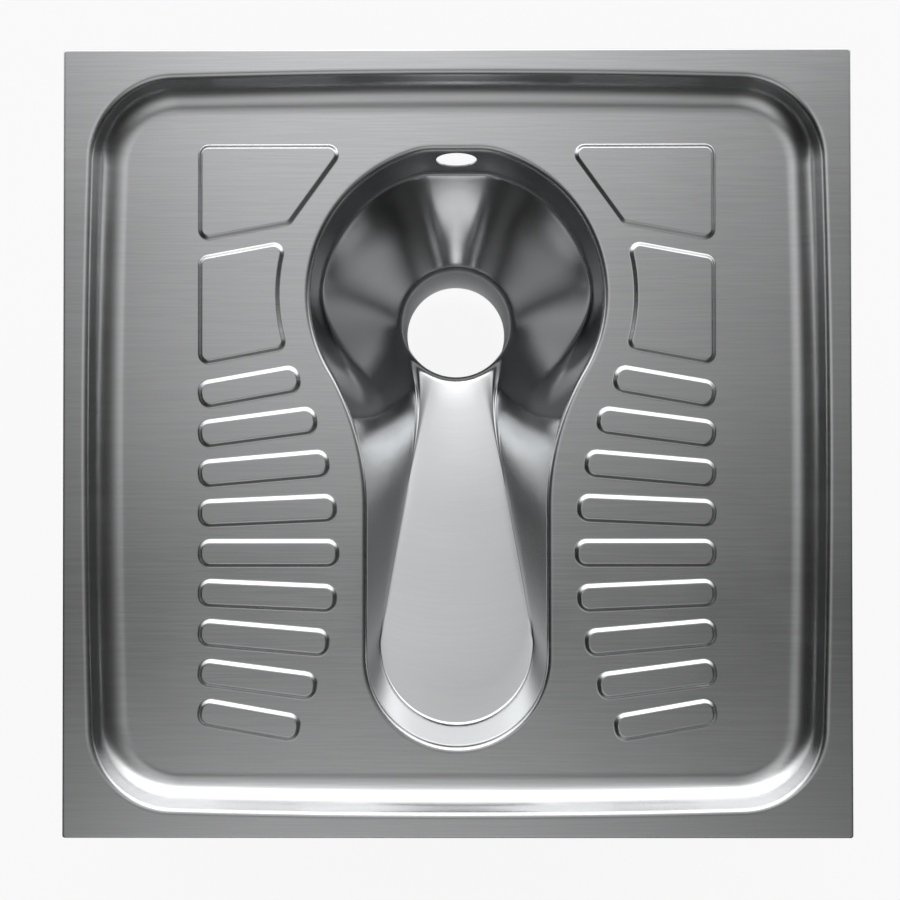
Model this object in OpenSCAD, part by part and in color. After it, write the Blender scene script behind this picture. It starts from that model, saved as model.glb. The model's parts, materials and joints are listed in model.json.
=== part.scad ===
// Squat toilet pan for building into a floor: a pressed sheet tray with foot treads,
// a deep-drawn bowl welded into it, and an underframe on four screw-adjusted feet.
// +X is to the user's right, +Y to the rear where the flush pipe enters, +Z up.
// The origin is on the floor under the middle of the pan.

/* [Pan] */
// Width of the pan over the rim
pan_w = 600; // [580:5:660]
// Length of the pan over the rim
pan_l = 600; // [590:5:660]
// Height of the rim above the floor, feet at their middle setting
rim_z = 250; // [245:1:290]
// Thickness of the stainless sheet
sheet = 1.2; // [1:0.1:1.5]

/* [Tray] */
// Flat width of the rim beside the corners
rim_face = 18; // [14:0.5:20]
// Depth of the rim's folded edge
rim_drop = 25; // [18:1:35]
// Outer radius of the rim's fold
fold_r = 1.6; // [1.5:0.1:4]
// Depth of the tray floor below the rim
tray_depth = 20; // [18:0.5:24]
// Radius where the rim turns down into the tray
tray_lip_r = 5; // [3:0.5:8]
// Slope of the tray wall, from level
tray_wall_slope = 68; // [55:1:75]
// Radius at the foot of the tray wall
tray_fillet_r = 20; // [12:0.5:22]
// Corner radius of the tray at the rim, in plan
tray_corner_r = 67; // [55:1:75]
// How far the opening's two long sides bow out at their middle
side_bow = 3.4; // [0:0.2:5]
// How far the opening's rear and front sides bow out at their middle
end_bow = 3; // [0:0.5:5]

/* [Treads] */
// Distance from the middle of the pan to the outer edge of the treads
tread_outer_x = 202; // [195:0.5:204]
// Height of the treads above the tray floor
tread_h = 2; // [1.5:0.25:4]
// Width of the sloping edge round a tread
tread_edge = 3.5; // [1:0.25:4]
// Number of long treads on each side
slot_count = 9; // [5:2:9]
// Width of a long tread
slot_w = 22; // [16:0.5:24]
// Corner radius of a long tread
slot_r = 9.5; // [5:0.5:10]
// Spacing of the long treads along the outer edge
slot_pitch = 31.2; // [28:0.2:32]
// Turn of each long tread against the next
slot_turn = 2.5; // [0:0.25:3]
// Place of the middle tread, in front of the pan's middle
slot_mid_y = 86; // [80:1:90]
// Distance from the middle of the pan to the inner end of the middle tread
slot_inner_x = 91.8; // [90:0.2:105]
// Radius of the arc on which the inner ends lie
slot_arc_r = 325; // [280:5:500]
// Place of the rear edge of the corner panels
panel_rear_y = 233.5; // [225:0.5:236]
// Place of the joint between the corner and the side panel, at its outer edge
panel_joint_y = 151.6; // [140:0.1:160]
// Gap between the panels
panel_gap = 11.5; // [10:0.1:20]
// Place of the side panel's front edge, at its outer end
panel_front_y = 60.2; // [59:0.2:80]
// Slope of the panels' joint
panel_slope = 10.5; // [5:0.5:15]
// Slope of the side panel's front edge
panel_front_slope = 10.5; // [4:0.5:12]
// Clear margin between the bowl's lip and the side panels
panel_margin = 18.8; // [16:0.2:26]
// Clear margin between the bowl's lip and the corners of the corner panels
corner_margin = 20.3; // [16:0.1:26]
// Corner radius of the panels
panel_r = 8; // [4:0.5:12]

/* [Bowl] */
// Place of the bowl's head, behind the pan's middle
head_y = 116.5; // [112:0.5:118]
// Radius of the bowl's head where its lip begins
head_r = 119.8; // [116:0.2:121]
// Half the width of the channel where its lip begins
channel_half = 74.8; // [70:0.2:77]
// Place of the centre of the channel's round end, in front of the pan's middle
channel_end_y = 167; // [150:1:175]
// Where the neck's curve meets the straight side of the channel
neck_y = 50; // [40:1:60]
// Radius of the lip between the tray floor and the bowl
lip_r = 4.5; // [3.5:0.5:5]
// Straight flange of the tray inside the bowl's lip, where the bowl is welded on
flange_h = 2; // [1.5:0.5:4]
// Radius of the head at the foot of its wall
head_foot_r = 115; // [108:0.5:115]
// Depth of the foot of the head's wall, below the rim
head_foot_depth = 75; // [68:1:80]
// Half width of the channel floor at its front end
channel_floor_front = 65; // [56:0.5:67]
// Half width of the channel floor where it meets the outlet
channel_floor_rear = 27; // [24:0.5:36]
// Depth of the channel floor at its front end, below the rim
channel_depth = 60; // [50:1:70]
// Depth of the funnel's lower edge, below the rim
funnel_depth = 150; // [140:1:158]
// Length of the collar below the funnel
collar_h = 10; // [6:1:14]

/* [Outlet] */
// Place of the outlet, behind the pan's middle
outlet_y = 112.5; // [110:0.5:116]
// Outer diameter of the outlet spigot
spigot_d = 102; // [98:0.5:104]
// Wall of the outlet spigot
spigot_wall = 1.5; // [1.2:0.1:2.5]
// Length of the outlet spigot
spigot_l = 80; // [60:1:82]

/* [Inlet] */
// Diameter of the flush inlet hole
inlet_d = 33; // [26:0.5:34]
// Depth of the flush inlet's axis, below the rim
inlet_depth = 43.5; // [43:0.5:46]
// Width of the flat pad in the head's wall that the inlet sits in
pad_w = 50; // [44:1:54]

/* [Underframe] */
// Distance from the pan's edge to the middle of a rail
rail_inset = 72; // [68:0.5:75]
// Distance from the pan's edge to the ends of the rails
rail_end_inset = 85; // [80:5:100]
// Width of a rail
rail_w = 40; // [36:1:42]
// Height of a rail
rail_h = 20; // [15:1:30]
// Wall of a rail
rail_wall = 1.5; // [1.2:0.1:2.5]
// Distance from the end of a rail to the middle of a leg
leg_inset = 30; // [25:1:65]
// Outer width of the square leg tube
leg_w = 30; // [25:1:34]
// Wall of the leg tube
leg_wall = 2; // [1.5:0.1:3]
// Height of the leg's lower end above the floor
leg_foot_z = 46; // [42:1:60]

/* [Feet] */
// Thread diameter of the foot screw
screw_d = 10; // [8:1:12]
// Length of the foot screw above its collar
screw_l = 80; // [65:1:110]
// Running clearance round the screw
screw_gap = 0.05; // [0.02:0.01:0.1]
// Diameter of the foot
foot_d = 50; // [40:1:60]
// Thickness of the rubber sole
sole_h = 3; // [2:0.5:5]
// Height of the foot's steel plate
foot_h = 11; // [9:0.5:14]
// Width over the flats of the screw's hexagon collar
hex_w = 17; // [14:0.5:19]
// Height of the screw's hexagon collar
hex_h = 6; // [4:0.5:8]
// Width over the flats of the lock nut
nut_w = 16; // [15:0.5:20]
// Height of the lock nut
nut_h = 6; // [5:0.5:8]
// Thickness of the threaded plug's flange
plug_flange = 3; // [2:0.5:4]
// Length of the threaded plug inside the leg
plug_l = 22; // [15:1:30]

/* [Sound damping] */
// Thickness of the damping mats
mat_t = 3; // [2:0.5:5]
// Width of the damping mats
mat_w = 66; // [50:1:75]
// Length of the damping mats
mat_length = 270; // [200:5:290]
// Clear gap between a damping mat and the rail beside it
mat_gap = 6; // [2:1:12]

/* [Earth terminal] */
// Place of the earth tab along the left rail, behind the pan's middle
earth_y = 90; // [40:5:140]
// Width of the earth tab
earth_w = 22; // [18:1:30]
// Thickness of the earth tab and of the anchor lugs
tab_t = 2; // [1.5:0.25:3]
// Thread diameter of the earth screw
earth_d = 6; // [5:1:8]
// Length of the earth screw under its head
earth_l = 20; // [16:1:30]
// Clearance on diameter round the earth screw
earth_gap = 0.4; // [0.2:0.1:0.6]

/* [Anchor lugs] */
// Distance from the middle of a side to an anchor lug
lug_y = 90; // [60:5:130]
// Width of an anchor lug
lug_w = 25; // [20:1:35]
// Reach of an anchor lug below the folded edge
lug_drop = 30; // [20:1:45]
// Diameter of the hole in an anchor lug
lug_hole_d = 9; // [7:0.5:12]

/* [Hidden] */
$fn = 48;

// Colours
steel = [0.66, 0.67, 0.68];
dull_steel = [0.52, 0.53, 0.54];
black_rubber = [0.08, 0.08, 0.08];
black_plastic = [0.12, 0.12, 0.13];
brass = [0.72, 0.58, 0.30];

// How finely the pressed shapes are divided
corner_steps = 8;
side_steps = 6;
fillet_steps = 7;
pad_steps = 2;
head_steps = 18;
neck_steps = 9;
channel_steps = 8;
end_steps = 10;

// Tray heights and the shape of its wall, worked out from the radii and the slope
floor_z = rim_z - tray_depth;
under_floor_z = floor_z - sheet;
wall_turn = 1 - cos(tray_wall_slope);
wall_straight = (tray_depth - (tray_lip_r + tray_fillet_r) * wall_turn) / sin(tray_wall_slope);
opening_inset = rim_face;
wall_foot_inset = opening_inset + (tray_lip_r + tray_fillet_r) * sin(tray_wall_slope)
    + wall_straight * cos(tray_wall_slope);
fillet_run = tray_fillet_r * sin(tray_wall_slope);
floor_lap = 4;

// Bowl places
spigot_r = spigot_d / 2;
pipe_r = spigot_r - spigot_wall;
weld_z = floor_z - lip_r - flange_h;
neck_r = (pow(head_y + neck_y, 2) / (head_r - channel_half) - (head_r + channel_half)) / 2;
neck_angle = 90 + atan((head_y + neck_y) / (channel_half + neck_r));
pad_angle = asin(pad_w / 2 / head_r);
channel_front_y = -channel_end_y - channel_floor_front;
funnel_front_y = outlet_y - spigot_r;
channel_fall = (funnel_depth - channel_depth) / (funnel_front_y - channel_front_y);
channel_taper = (channel_floor_front - channel_floor_rear) / (funnel_front_y + channel_end_y);
collar_end_z = rim_z - funnel_depth - collar_h;
blend_start = 80;

// Places in the underframe
rail_z = under_floor_z - rail_h;
rail_x = pan_w / 2 - rail_inset;
rail_l = pan_l - 2 * rail_end_inset;
leg_y = rail_l / 2 - leg_inset;
sides = [-1, 1];

// How far a cutting shape runs past the face that it cuts
past = 1;

// ---- shared shapes ----

// A closed sheet of metal from rings of points: the rings run round the section.
module ring_solid(rings) {
    count = len(rings[0]);
    last = len(rings);
    points = [for (ring = rings) for (p = ring) p];
    faces = [
        for (j = [0 : last - 1])
            for (i = [0 : count - 1])
                let (
                    a = j * count + i,
                    b = j * count + (i + 1) % count,
                    c = ((j + 1) % last) * count + (i + 1) % count,
                    d = ((j + 1) % last) * count + i
                )
                each [[a, b, c], [a, c, d]]
    ];
    polyhedron(points = points, faces = faces, convexity = 12);
}

function unit(v) = v / norm(v);
function mix(a, b, t) = a * (1 - t) + b * t;
function smooth(t) = let (u = min(1, max(0, t))) u * u * (3 - 2 * u);
function flip(list) = [for (i = [len(list) - 1 : -1 : 0]) list[i]];

// ---- tray ----

// Rounded rectangle; its long sides and its ends bow out by the two values of bows.
function tray_ring(inset, r, bows, z) =
    let (
        hx = pan_w / 2 - inset,
        hy = pan_l / 2 - inset,
        cx = hx - r,
        cy = hy - r
    )
    [
        for (q = [0 : 3])
            let (
                sx = (q == 0 || q == 3) ? 1 : -1,
                sy = (q < 2) ? 1 : -1
            )
            each concat(
                [for (i = [0 : corner_steps])
                    let (a = q * 90 + i * 90 / corner_steps)
                    [sx * cx + r * cos(a), sy * cy + r * sin(a), z]],
                [for (i = [1 : side_steps - 1])
                    let (t = i / side_steps)
                    let (reach = 1 - pow(1 - 2 * t, 2))
                    (q % 2 == 0)
                        ? [sx * cx * (1 - 2 * t), sy * (hy + bows[1] * reach), z]
                        : [sx * (hx + bows[0] * reach), sy * cy * (1 - 2 * t), z]]
            )
    ];

// Section of the tray: inset from the pan's edge, depth below the rim, slope of the sheet.
fold_section = [
    [0, rim_drop, -90],
    for (i = [0 : 2])
        let (a = 90 - i * 45)
        [fold_r * (1 - sin(a)), fold_r * (1 - cos(a)), -a]
];
lip_section = [
    for (i = [0 : 3])
        let (a = tray_wall_slope * i / 3)
        [opening_inset + tray_lip_r * sin(a), tray_lip_r * (1 - cos(a)), a]
];
fillet_section = [
    for (i = [fillet_steps : -1 : 0])
        let (a = tray_wall_slope * i / fillet_steps)
        [wall_foot_inset - tray_fillet_r * sin(a), tray_depth - tray_fillet_r * (1 - cos(a)), a]
];
floor_section = [[wall_foot_inset + floor_lap, tray_depth, 0]];
tray_section = concat(fold_section, lip_section, fillet_section, floor_section);

// Plan corner radius and bows at a given inset. The bow of the two ends fades out down the
// wall's foot, so that the floor's ends are straight.
function in_rim(inset) = inset < opening_inset - 0.1;
function end_share(inset) = min(1, max(0, (wall_foot_inset - inset) / fillet_run));
function plan_r(inset) =
    in_rim(inset) ? fold_r + 0.5 : tray_corner_r - (inset - opening_inset);
function plan_bows(inset) =
    in_rim(inset) ? [0, 0] : [side_bow, end_bow * end_share(inset)];

function tray_top(p) = tray_ring(p[0], plan_r(p[0]), plan_bows(p[0]), rim_z - p[1]);
function tray_under(p) =
    let (back = sheet * sin(p[2]))
    tray_ring(
        p[0] - back, plan_r(p[0]) + back, plan_bows(p[0]), rim_z - p[1] - sheet * cos(p[2])
    );

module tray_shell() {
    ring_solid(flip(concat(
        [for (p = tray_section) tray_top(p)],
        [for (p = flip(tray_section)) tray_under(p)]
    )));
}

// ---- lip of the bowl ----

// Right half of the keyhole outline, rear to front: place and the angle of its outward normal.
// It starts along the flat pad of the inlet.
function pad_y(r) = head_y + sqrt(r * r - pad_w * pad_w / 4);
lip_half = concat(
    [for (i = [0 : pad_steps - 1])
        [pad_w / 2 * i / pad_steps, pad_y(head_r), 0]],
    [for (i = [0 : head_steps - 1])
        let (a = mix(pad_angle, neck_angle, i / head_steps))
        [head_r * sin(a), head_y + head_r * cos(a), i == 0 ? a / 2 : a]],
    [for (i = [0 : neck_steps - 1])
        let (a = mix(neck_angle, 90, i / neck_steps))
        [channel_half + neck_r * (1 - sin(a)), -neck_y - neck_r * cos(a), a]],
    [for (i = [0 : channel_steps - 1])
        [channel_half, mix(-neck_y, -channel_end_y, i / channel_steps), 90]],
    [for (i = [0 : end_steps])
        let (a = 90 + 90 * i / end_steps)
        [channel_half * sin(a), -channel_end_y + channel_half * cos(a), a]]
);

// A half ring and its mirror image make a whole ring.
function whole(half) = concat(
    half, [for (i = [len(half) - 2 : -1 : 1]) [-half[i][0], half[i][1], half[i][2]]]
);
function lip_point(p, inset, z) = [p[0] - inset * sin(p[2]), p[1] - inset * cos(p[2]), z];
function lip_ring(inset, z) = whole([for (p = lip_half) lip_point(p, inset, z)]);
function flat(ring) = [for (p = ring) [p[0], p[1]]];

lip_turn = [
    [-floor_lap, 0, 0],
    for (i = [0 : 4])
        let (a = 90 * i / 4)
        [lip_r * sin(a), lip_r * (1 - cos(a)), a],
    [lip_r, lip_r + flange_h, 90]
];

module tray_lip() {
    ring_solid(concat(
        [for (p = lip_turn) lip_ring(p[0], floor_z - p[1])],
        [for (p = flip(lip_turn))
            lip_ring(p[0] - sheet * sin(p[2]), floor_z - p[1] - sheet * cos(p[2]))]
    ));
}

module tray_floor() {
    translate([0, 0, under_floor_z])
        linear_extrude(sheet)
            difference() {
                polygon(flat(tray_ring(
                    wall_foot_inset + floor_lap / 2, plan_r(wall_foot_inset + floor_lap / 2),
                    plan_bows(wall_foot_inset), 0
                )));
                polygon(flat(lip_ring(-floor_lap / 2, 0)));
            }
}

// ---- treads ----

// Outer end and slope of one long tread, and its length to the arc of inner ends.
function slot_start(k) = [-(tread_outer_x - slot_w / 2), -slot_mid_y + k * slot_pitch];
function slot_length(k) =
    let (
        start = slot_start(k),
        turn = k * slot_turn,
        centre = [-slot_inner_x - slot_arc_r, -slot_mid_y],
        reach = slot_arc_r - slot_w / 2,
        away = start - centre,
        along = away[0] * cos(turn) + away[1] * sin(turn)
    )
    -along + sqrt(along * along - away * away + reach * reach);

// Raised bar with rounded corners and sloping edges, round the origin.
module slot_bar(length, width, r, rise) {
    top = [1 - 2 * tread_edge / length, 1 - 2 * tread_edge / width];
    linear_extrude(rise, scale = top, slices = 1, $fn = 12)
        offset(r = r)
            square([length - 2 * r, width - 2 * r], center = true);
}

module slots(z, rise, shrink) {
    half = (slot_count - 1) / 2;
    for (k = [-half : half])
        translate([slot_start(k)[0], slot_start(k)[1], z])
            rotate(k * slot_turn)
                translate([slot_length(k) / 2, 0, 0])
                    slot_bar(
                        slot_length(k) + slot_w - 2 * shrink, slot_w - 2 * shrink,
                        slot_r - shrink, rise
                    );
}

// The panels' inner corners lie on circles round the bowl's head.
side_limit_r = head_r + panel_margin;
corner_limit_r = head_r + corner_margin;
panel_middle_x = (tread_outer_x + side_limit_r) / 2;
function on_head(r, y) = [sqrt(r * r - pow(y - head_y, 2)), y];
function joint_line(y, x, slope) = y + (tread_outer_x - x) * tan(slope);

// Where an edge that slopes inwards from height y meets the circle of radius r.
function joint_y(r, y, slope) =
    let (
        x0 = on_head(r, joint_line(y, r, slope))[0],
        x1 = on_head(r, joint_line(y, x0, slope))[0]
    )
    joint_line(y, on_head(r, joint_line(y, x1, slope))[0], slope);

// Edge along the head from one height to another.
function head_edge(r, y0, y1) = [for (i = [0 : 6]) on_head(r, mix(y0, y1, i / 6))];

module corner_panel_plan() {
    low = panel_joint_y + panel_gap / 2;
    polygon([
        [tread_outer_x, low],
        [tread_outer_x, panel_rear_y],
        on_head(corner_limit_r, panel_rear_y),
        on_head(corner_limit_r, joint_y(corner_limit_r, low, panel_slope))
    ]);
}

module side_panel_plan() {
    high = panel_joint_y - panel_gap / 2;
    points = concat(
        [[tread_outer_x, panel_front_y], [tread_outer_x, high]],
        head_edge(
            side_limit_r,
            joint_y(side_limit_r, high, panel_slope),
            joint_y(side_limit_r, panel_front_y, panel_front_slope)
        )
    );
    polygon(points);
}

// Rounded outline of a panel, then its sloping edge in one tapered step.
module panel(z, rise, shrink, middle) {
    factor = 1 - tread_edge / (panel_rear_y - panel_joint_y) * 2;
    translate([middle[0], middle[1], z])
        linear_extrude(rise, scale = factor)
            translate(-middle)
                offset(r = panel_r - shrink, $fn = 24)
                    offset(delta = -panel_r)
                        children();
}

module panels(z, rise, shrink) {
    panel(z, rise, shrink, [panel_middle_x, (panel_rear_y + panel_joint_y) / 2])
        corner_panel_plan();
    panel(z, rise, shrink, [panel_middle_x, (panel_joint_y + panel_front_y) / 2])
        side_panel_plan();
}

module treads(z, rise, shrink) {
    for (side = sides) {
        scale([-side, 1, 1]) slots(z, rise, shrink);
        scale([side, 1, 1]) panels(z, rise, shrink);
    }
}

module tray() {
    color(steel) {
        difference() {
            union() {
                tray_floor();
                treads(floor_z - sheet / 2, tread_h + sheet / 2, 0);
            }
            treads(under_floor_z - past, tread_h + past, sheet);
        }
        tray_shell();
        tray_lip();
    }
}

// ---- bowl ----

function head_angle(p) = atan2(p[0], p[1] - head_y);
function toward(p, r, z, y = head_y) =
    let (a = head_angle(p))
    [r * sin(a), y + r * cos(a), z];

// How much a lip point belongs to the channel: none round the head, all past the neck.
function channel_share(i) =
    (i < pad_steps + head_steps)
        ? smooth(0.5 * (lip_half[i][2] - blend_start) / (neck_angle - blend_start))
        : smooth(0.5 + 0.5 * (i - pad_steps - head_steps) / neck_steps);

// Foot of the head's wall: on a circle, or along the pad.
function head_foot(i) =
    (i <= pad_steps)
        ? [lip_half[i][0], pad_y(head_foot_r), rim_z - head_foot_depth]
        : toward(lip_half[i], head_foot_r, rim_z - head_foot_depth);

function channel_floor_z(y) =
    rim_z - channel_depth - channel_fall * (y - channel_front_y);
function channel_floor_half(y) = channel_floor_front - channel_taper * (y + channel_end_y);
function channel_foot(p) =
    let (
        in_end = p[1] < -channel_end_y,
        x = in_end ? channel_floor_front * sin(p[2]) : channel_floor_half(p[1]),
        y = in_end ? -channel_end_y + channel_floor_front * cos(p[2]) : p[1]
    )
    [x, y, channel_floor_z(y)];

// The four knees of the bowl's section at one lip point.
funnel_run = head_foot_r - spigot_r;
funnel_fall = funnel_depth - head_foot_depth;
mid_funnel = 0.7;
function knees(i) =
    let (
        p = lip_half[i],
        share = channel_share(i),
        weld = lip_point(p, lip_r, weld_z),
        foot = channel_foot(p),
        wall_foot = mix(head_foot(i), mix(weld, foot, 0.4), share),
        floor_edge = mix(
            toward(p, head_foot_r - mid_funnel * funnel_run,
                rim_z - head_foot_depth - mid_funnel * funnel_fall,
                mix(head_y, outlet_y, mid_funnel)),
            foot, share
        ),
        funnel_edge = toward(p, pipe_r, rim_z - funnel_depth, outlet_y),
        collar_end = toward(p, pipe_r, collar_end_z, outlet_y)
    )
    [weld, wall_foot, floor_edge, funnel_edge, collar_end];

// How far from a knee its rounding starts: at the foot of the head's wall, at the edge of
// the channel's floor, where both fade into each other at the neck, and at the collar.
wall_reach = 4;
floor_reach = 3;
neck_reach = 30;
collar_reach = 8;
knee_steps = 3;

// Round a knee between two straight runs.
function round_knee(a, k, b, reach) =
    let (
        from = k + unit(a - k) * min(reach, 0.45 * norm(a - k)),
        to = k + unit(b - k) * min(reach, 0.45 * norm(b - k))
    )
    [for (s = [0 : knee_steps])
        let (t = s / knee_steps)
        mix(mix(from, k, t), mix(k, to, t), t)];

function section(i) =
    let (k = knees(i), share = channel_share(i))
    concat(
        [k[0]],
        round_knee(k[0], k[1], k[2], mix(wall_reach, neck_reach, share)),
        round_knee(k[1], k[2], k[3], mix(neck_reach, floor_reach, share)),
        round_knee(k[2], k[3], k[4], collar_reach),
        [k[4]]
    );

sections = [for (i = [0 : len(lip_half) - 1]) section(i)];
bowl_rings = [
    for (j = [0 : len(sections[0]) - 1]) whole([for (s = sections) s[j]])
];

// Outward normal of the bowl's skin at ring j and place i; level at both ends of the section.
function skin_normal(j, i) =
    let (
        count = len(bowl_rings[0]),
        last = len(bowl_rings) - 1,
        ring = bowl_rings[j],
        round_step = ring[(i + 1) % count] - ring[(i + count - 1) % count],
        down_step = bowl_rings[min(last, j + 1)][i] - bowl_rings[max(0, j - 1)][i],
        n = (j == 0 || j == last)
            ? cross([0, 0, -1], round_step)
            : cross(down_step, round_step)
    )
    unit(n);

bowl_outer_rings = [
    for (j = [0 : len(bowl_rings) - 1])
        [for (i = [0 : len(bowl_rings[0]) - 1]) bowl_rings[j][i] - sheet * skin_normal(j, i)]
];

// The inlet's hole is square to the pad, which leans back a little towards the lip.
pad_lean = atan(
    (pad_y(head_r) - lip_r - pad_y(head_foot_r)) / (weld_z - rim_z + head_foot_depth)
);
inlet_z = rim_z - inlet_depth;
inlet_y = pad_y(head_foot_r) + (inlet_z - rim_z + head_foot_depth) * tan(pad_lean);

module bowl() {
    color(steel)
        difference() {
            ring_solid(concat(bowl_rings, flip(bowl_outer_rings)));
            translate([0, inlet_y, inlet_z])
                rotate([-90 - pad_lean, 0, 0])
                    cylinder(h = 2 * inlet_d, d = inlet_d, center = true);
        }
}

module outlet_spigot() {
    color(steel)
        translate([0, outlet_y, collar_end_z - spigot_l])
            difference() {
                cylinder(h = spigot_l, r = spigot_r, $fn = 96);
                translate([0, 0, -past])
                    cylinder(h = spigot_l + 2 * past, r = pipe_r, $fn = 96);
            }
}

// ---- underframe ----

// A channel with its open side up, welded under the tray floor.
module rail(side) {
    color(dull_steel)
        translate([side * rail_x - rail_w / 2, -rail_l / 2, rail_z])
            difference() {
                cube([rail_w, rail_l, rail_h]);
                translate([rail_wall, -past, rail_wall])
                    cube([rail_w - 2 * rail_wall, rail_l + 2 * past, rail_h]);
            }
}

module at_leg(side, end) {
    translate([side * rail_x, end * leg_y, 0]) children();
}

module leg(side, end) {
    inner = leg_w - 2 * leg_wall;
    color(dull_steel)
        at_leg(side, end)
            translate([0, 0, leg_foot_z])
                difference() {
                    translate([-leg_w / 2, -leg_w / 2, 0])
                        cube([leg_w, leg_w, rail_z - leg_foot_z]);
                    translate([-inner / 2, -inner / 2, -past])
                        cube([inner, inner, rail_z - leg_foot_z + 2 * past]);
                }
}

// Threaded plug in the leg's lower end; its flange covers the tube's edge.
module plug(side, end) {
    inner = leg_w - 2 * leg_wall;
    color(black_plastic)
        at_leg(side, end)
            difference() {
                union() {
                    translate([-inner / 2, -inner / 2, leg_foot_z])
                        cube([inner, inner, plug_l]);
                    translate([-leg_w / 2, -leg_w / 2, leg_foot_z - plug_flange])
                        cube([leg_w, leg_w, plug_flange]);
                }
                cylinder(h = rail_z, d = screw_d + 2 * screw_gap);
            }
}

module hexagon(width, height) {
    cylinder(h = height, d = width / cos(30), $fn = 6);
}

module lock_nuts() {
    color(dull_steel)
        for (side = sides)
            for (end = sides)
                at_leg(side, end)
                    translate([0, 0, leg_foot_z - plug_flange - nut_h])
                        difference() {
                            hexagon(nut_w, nut_h);
                            translate([0, 0, -past])
                                cylinder(h = nut_h + 2 * past, d = screw_d + 2 * screw_gap);
                        }
}

// Foot: a coned steel plate on a rubber sole, with a socket for the lower end of the screw.
foot_edge_h = 3;
socket_wall = 4;
socket_base = 4;
journal_r = screw_d / 2 + 1;
socket_h = foot_h - socket_base;
foot_top_z = sole_h + foot_h;
turning_gap = 0.3;

module foot(side, end) {
    color(dull_steel)
        at_leg(side, end)
            translate([0, 0, sole_h])
                difference() {
                    union() {
                        cylinder(h = foot_edge_h, d = foot_d);
                        translate([0, 0, foot_edge_h])
                            cylinder(
                                h = foot_h - foot_edge_h,
                                r1 = foot_d / 2 - foot_edge_h,
                                r2 = journal_r + socket_wall
                            );
                    }
                    translate([0, 0, socket_base])
                        cylinder(h = socket_h + past, r = journal_r + screw_gap);
                }
}

module sole(side, end) {
    color(black_rubber)
        at_leg(side, end)
            cylinder(h = sole_h, d = foot_d);
}

// Foot screw: a plain journal in the foot, a hexagon collar to turn it by, and the thread.
module screw(side, end) {
    collar_z = foot_top_z + turning_gap;
    color(dull_steel)
        at_leg(side, end) {
            translate([0, 0, foot_top_z - socket_h + turning_gap])
                cylinder(h = socket_h + hex_h / 2, r = journal_r);
            translate([0, 0, collar_z])
                hexagon(hex_w, hex_h);
            translate([0, 0, collar_z + hex_h / 2])
                cylinder(h = screw_l + hex_h / 2, d = screw_d);
        }
}

// ---- small pieces ----

// Bitumen mat glued under the treads of one side, beside the rail.
module mat(side) {
    color(black_rubber)
        translate([
            side * (rail_x - rail_w / 2 - mat_gap - mat_w / 2) - mat_w / 2,
            -slot_mid_y - mat_length / 2,
            under_floor_z - mat_t
        ])
            cube([mat_w, mat_length, mat_t]);
}

module anchor_lugs() {
    color(dull_steel)
        for (side = sides)
            for (end = sides)
                translate([side * (pan_w / 2 - sheet - tab_t / 2), end * lug_y, rim_z - rim_drop])
                    difference() {
                        translate([-tab_t / 2, -lug_w / 2, -lug_drop])
                            cube([tab_t, lug_w, lug_drop + rim_drop / 2]);
                        translate([-tab_t, 0, -lug_drop / 2])
                            rotate([0, 90, 0])
                                cylinder(h = 2 * tab_t, d = lug_hole_d);
                    }
}

// Earth terminal: a tab welded under the left rail, with a screw, washers and nut.
earth_drop = 20;
earth_z = rail_z - earth_drop / 2;
earth_hex_w = 10;
earth_head_h = 4;
earth_nut_h = 5;
washer_t = 1.2;
washer_d = 2 * earth_d;
washer_step = 2;
tab_side_x = -rail_x + tab_t / 2;

// Lays a piece along the earth screw, a given way out from the tab's inner side.
module at_earth(out) {
    translate([tab_side_x + out, earth_y, earth_z]) rotate([0, 90, 0]) children();
}

module earth_tab() {
    color(dull_steel)
        difference() {
            translate([-rail_x - tab_t / 2, earth_y - earth_w / 2, rail_z - earth_drop])
                cube([tab_t, earth_w, earth_drop]);
            at_earth(-2 * tab_t) cylinder(h = 3 * tab_t, d = earth_d + earth_gap);
        }
}

module earth_screw() {
    color(dull_steel) {
        at_earth(-tab_t - earth_head_h) hexagon(earth_hex_w, earth_head_h);
        at_earth(-tab_t - earth_head_h / 2) cylinder(h = earth_l + earth_head_h / 2, d = earth_d);
    }
}

// A wide flat washer and a narrower spring washer.
module earth_washers() {
    color(brass)
        for (k = [0 : 1])
            at_earth(k * washer_t)
                difference() {
                    cylinder(h = washer_t, d = washer_d - k * washer_step);
                    translate([0, 0, -past])
                        cylinder(h = washer_t + 2 * past, d = earth_d + earth_gap);
                }
}

module earth_nut() {
    color(brass)
        at_earth(2 * washer_t)
            difference() {
                hexagon(earth_hex_w, earth_nut_h);
                translate([0, 0, -past])
                    cylinder(h = earth_nut_h + 2 * past, d = earth_d + earth_gap / 4);
            }
}

tray();
bowl();
outlet_spigot();
rail(-1);  // rail_left
rail(1);  // rail_right
leg(-1, -1);  // leg_front_left
leg(1, -1);  // leg_front_right
leg(-1, 1);  // leg_rear_left
leg(1, 1);  // leg_rear_right
plug(-1, -1);  // plug_front_left
plug(1, -1);  // plug_front_right
plug(-1, 1);  // plug_rear_left
plug(1, 1);  // plug_rear_right
lock_nuts();
screw(-1, -1);  // screw_front_left
screw(1, -1);  // screw_front_right
screw(-1, 1);  // screw_rear_left
screw(1, 1);  // screw_rear_right
foot(-1, -1);  // foot_front_left
foot(1, -1);  // foot_front_right
foot(-1, 1);  // foot_rear_left
foot(1, 1);  // foot_rear_right
sole(-1, -1);  // sole_front_left
sole(1, -1);  // sole_front_right
sole(-1, 1);  // sole_rear_left
sole(1, 1);  // sole_rear_right
mat(-1);  // mat_left
mat(1);  // mat_right
anchor_lugs();
earth_tab();
earth_screw();
earth_washers();
earth_nut();
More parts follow.
